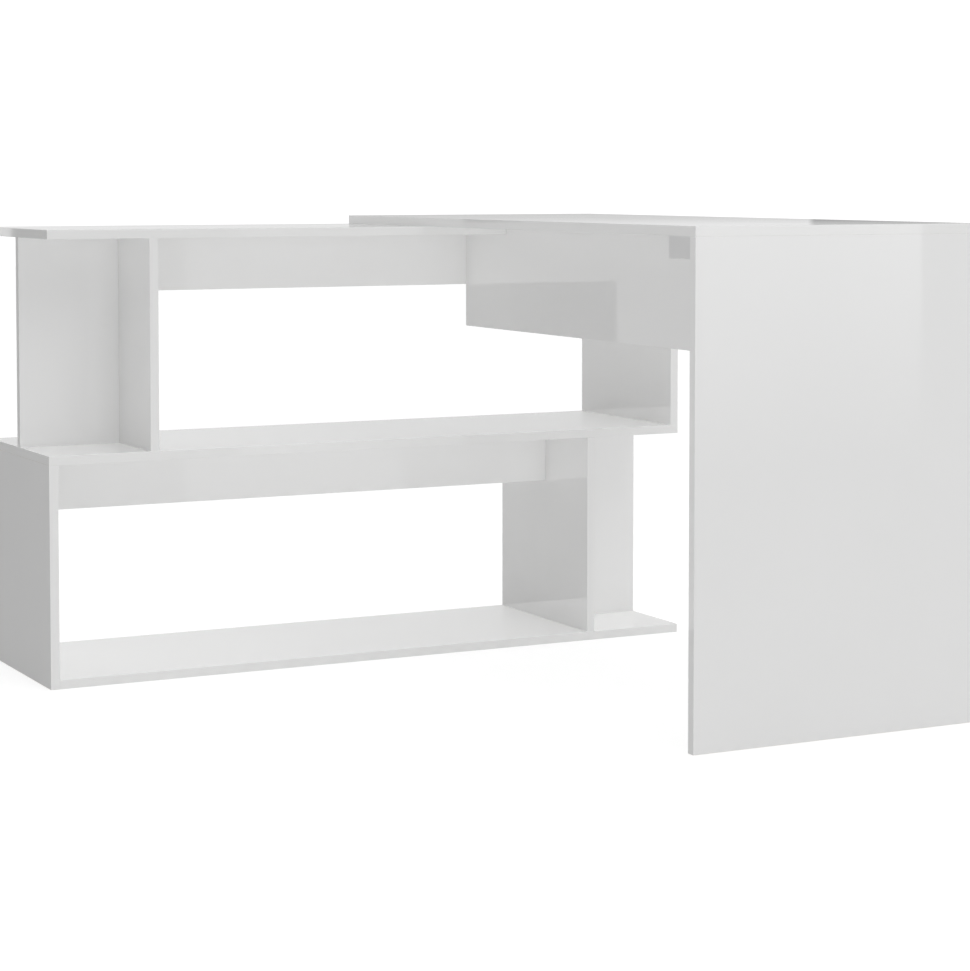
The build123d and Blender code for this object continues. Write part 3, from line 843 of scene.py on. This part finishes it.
class CORNER_DESK_OT_set_stage(bpy.types.Operator):
    """Lay the pale floor, and set the soft lights and the camera"""

    bl_idname = "corner_desk.set_stage"
    bl_label = "Set stage"

    def execute(self, context):
        studio = context.scene.corner_desk_studio
        lay_floor(studio)
        light_sky(context.scene, studio)
        hang_softbox(
            "key_softbox",
            middle=Vector((0.8, -2.5, 3.2)),
            target=Vector((0.8, 0.0, 0.3)),
            size=1.6,
            brightness=studio.key_light,
        )
        set_fill("front_fill", Vector((0.18, 1.0, -0.02)), studio.front_fill)
        set_fill("top_fill", Vector((0.0, 0.02, -1.0)), studio.top_fill)
        front, back = studio.front_panel, studio.back_panels
        # name, lowest and highest corner, height of the fade at the foot, brightness
        panels = (
            ("front_panel", (1.25, -3.0, 0.1), (2.27, -3.0, 0.8), 0.7, front),
            ("back_panel", (-3.6, 3.0, -0.4), (-1.56, 3.0, 0.64), 0.01, back),
            ("upper_back_panel", (-3.6, 3.0, 0.66), (-1.56, 3.0, 0.8), 0.01, back * 0.8),
            ("high_back_panel", (-1.35, 3.0, 0.66), (0.0, 3.0, 0.8), 0.01, back * 1.35),
        )
        for name, low, high, fade, brightness in panels:
            stand_light_panel(name, Vector(low), Vector(high), fade, brightness)
        set_camera(context.scene, studio)
        context.scene.view_settings.view_transform = "Standard"
        context.scene.cycles.diffuse_bounces = 12
        context.scene.cycles.max_bounces = 16
        return {"FINISHED"}


def lay_floor(studio):
    """A pale floor, which takes the desk's soft shadow and lights the desk from below."""
    drawn = bmesh.new()
    bmesh.ops.create_grid(drawn, x_segments=8, y_segments=8, size=studio.floor_size / 2)
    mesh = bpy.data.meshes.new("floor")
    drawn.to_mesh(mesh)
    drawn.free()
    floor = bpy.data.objects.new("floor", mesh)
    bpy.context.scene.collection.objects.link(floor)
    finish, shader, place = start_finish("pale_floor", Emission_Color=WHITE, Specular_IOR_Level=0.0)
    pale = noise(place, 2.0)
    tone = colour_mix(pale, (0.58, 0.58, 0.58), (0.60, 0.60, 0.60))
    end_finish(shader, tone, pale * 0.1 + 0.8, bumps(noise(place, 60.0), 0.01 * MM))
    seen = Wire(finish.node_tree.nodes.new("ShaderNodeLightPath").outputs["Is Camera Ray"])
    feed(shader.inputs["Emission Strength"], seen * studio.floor_white + studio.floor_glow)
    mesh.materials.append(finish)
    floor.visible_glossy = False
    floor.location.z = -0.5 * MM


def light_sky(scene, studio):
    """Light from above the horizon, weakest from the desk's left.

    right, back and up are the parts of the way that a ray goes, so up is its height over the
    horizon as a share of its length.
    """
    world = bpy.data.worlds.new("studio")
    world.use_nodes = True
    tree = world.node_tree
    tree.nodes.clear()
    right, back, up = split(Wire(tree.nodes.new("ShaderNodeTexCoord").outputs["Generated"]))
    low = 1.0 - up.rise(0.03, 0.1)
    soft = lobe(back) * studio.behind + (1.0 - lobe(right * -1.0)) * studio.sky
    soft = soft + up.rise(0.2, 0.7) * studio.overhead
    soft = soft + lobe(right) ** 2.0 * (low * studio.horizon + studio.beside)
    # a far wall's dim foot, and past the wall's corner a darker one, for the tops to mirror
    foot = 1.0 - 0.26 * (1.0 - up.rise(0.0158, 0.0172))
    past_corner = (right - back * 0.6808).rise(0.0, 0.003)
    dark_foot = 1.0 - 0.55 * past_corner * (1.0 - up.rise(0.0160, 0.0215))
    above_horizon = up.rise(-0.01, 0.01)
    strength = above_horizon * soft * (1.0 + 0.12 * low) * foot * dark_foot
    light = add_node(tree, "ShaderNodeBackground", {"Color": WHITE, "Strength": strength})
    plain = add_node(tree, "ShaderNodeBackground", {"Color": WHITE, "Strength": 1.1})
    seen = Wire(tree.nodes.new("ShaderNodeLightPath").outputs["Is Camera Ray"])
    both = add_node(tree, "ShaderNodeMixShader", {0: seen, 1: light, 2: plain})
    feed(tree.nodes.new("ShaderNodeOutputWorld").inputs["Surface"], both)
    scene.world = world


def lobe(part):
    """Strongest straight along an axis, and none at right angles to it or behind."""
    return part.reckon("MAXIMUM", 0.0) ** 2.0


def hang_softbox(name, middle, target, size, brightness):
    """A square soft light outside the picture."""
    light = bpy.data.lights.new(name, "AREA")
    light.size = size
    light.energy = brightness * math.pi * size * size
    softbox = place_light(light, target - middle)
    softbox.location = middle
    softbox.visible_camera = False


def set_fill(name, way, brightness):
    """Faint parallel light that throws no shadow, as from walls all round."""
    light = bpy.data.lights.new(name, "SUN")
    light.energy = brightness
    light.angle = 0.5
    light.use_shadow = False
    place_light(light, way).visible_glossy = False


def place_light(light, way):
    """An object for a light, turned the way that it shines."""
    lamp = bpy.data.objects.new(light.name, light)
    bpy.context.scene.collection.objects.link(lamp)
    lamp.rotation_euler = way.to_track_quat("-Z", "Y").to_euler()
    return lamp


def stand_light_panel(name, low, high, fade, brightness):
    """An upright panel across the y axis that only mirrors show, dark at the foot of its fade."""
    drawn = bmesh.new()
    corners = [(low.x, low.z), (high.x, low.z), (high.x, high.z), (low.x, high.z)]
    drawn.faces.new([drawn.verts.new((x, low.y, z)) for x, z in reversed(corners)])
    mesh = bpy.data.meshes.new(name)
    drawn.to_mesh(mesh)
    drawn.free()
    panel = bpy.data.objects.new(name, mesh)
    bpy.context.scene.collection.objects.link(panel)
    finish = bpy.data.materials.new(f"{name}_glow")
    finish.use_nodes = True
    tree = finish.node_tree
    tree.nodes.clear()
    glow = split(place_of(tree))[2].rise(low.z, low.z + fade) * brightness
    light = add_node(tree, "ShaderNodeEmission", {"Color": WHITE, "Strength": glow})
    feed(tree.nodes.new("ShaderNodeOutputMaterial").inputs["Surface"], light)
    mesh.materials.append(finish)
    panel.visible_camera = False
    panel.visible_diffuse = False
    panel.visible_shadow = False


def set_camera(scene, studio):
    """Stand the camera at its viewpoint."""
    lens = bpy.data.cameras.new("camera")
    lens.sensor_width = 36.0
    lens.lens = studio.lens
    lens.shift_y = studio.shift
    lens.clip_end = 200.0
    camera = bpy.data.objects.new("camera", lens)
    scene.collection.objects.link(camera)
    camera.location = studio.viewpoint
    camera.rotation_euler = (math.pi / 2 + studio.tilt, 0.0, studio.turn)
    scene.camera = camera


class CORNER_DESK_PT_panel(bpy.types.Panel):
    """The corner desk's sizes, colours and steps"""

    bl_idname = "CORNER_DESK_PT_panel"
    bl_label = "Corner desk"
    bl_space_type = "VIEW_3D"
    bl_region_type = "UI"
    bl_category = "Corner desk"

    def draw(self, context):
        for group, steps in STEPS.items():
            settings = getattr(context.scene, group)
            box = self.layout.box()
            for name in settings.bl_rna.properties.keys():
                if name not in ("rna_type", "name"):
                    box.prop(settings, name)
            for step in steps:
                box.operator(step.bl_idname)


STEPS = {
    "corner_desk_finishes": (
        CORNER_DESK_OT_finish_boards,
        CORNER_DESK_OT_finish_edge_bands,
        CORNER_DESK_OT_finish_corner_blocks,
        CORNER_DESK_OT_finish_cam_locks,
    ),
    "corner_desk_fittings": (
        CORNER_DESK_OT_stand_bolts,
        CORNER_DESK_OT_lay_covers,
        CORNER_DESK_OT_stand_dowels,
        CORNER_DESK_OT_drive_screws,
    ),
    "corner_desk_studio": (CORNER_DESK_OT_set_stage,),
}
GROUPS = {
    "corner_desk_finishes": CornerDeskFinishes,
    "corner_desk_fittings": CornerDeskFittings,
    "corner_desk_studio": CornerDeskStudio,
}


def classes():
    """Every class that Blender must know."""
    return [*GROUPS.values(), *(step for steps in STEPS.values() for step in steps), CORNER_DESK_PT_panel]


def register():
    for each in classes():
        bpy.utils.register_class(each)
    for name, group in GROUPS.items():
        setattr(bpy.types.Scene, name, bpy.props.PointerProperty(type=group))


def unregister():
    for name in GROUPS:
        delattr(bpy.types.Scene, name)
    for each in reversed(classes()):
        bpy.utils.unregister_class(each)


def main():
    """Register the add-on, and take its steps one by one."""
    register()
    for steps in STEPS.values():
        for step in steps:
            getattr(bpy.ops.corner_desk, step.bl_idname.split(".")[1])()


if __name__ == "__main__":
    main()
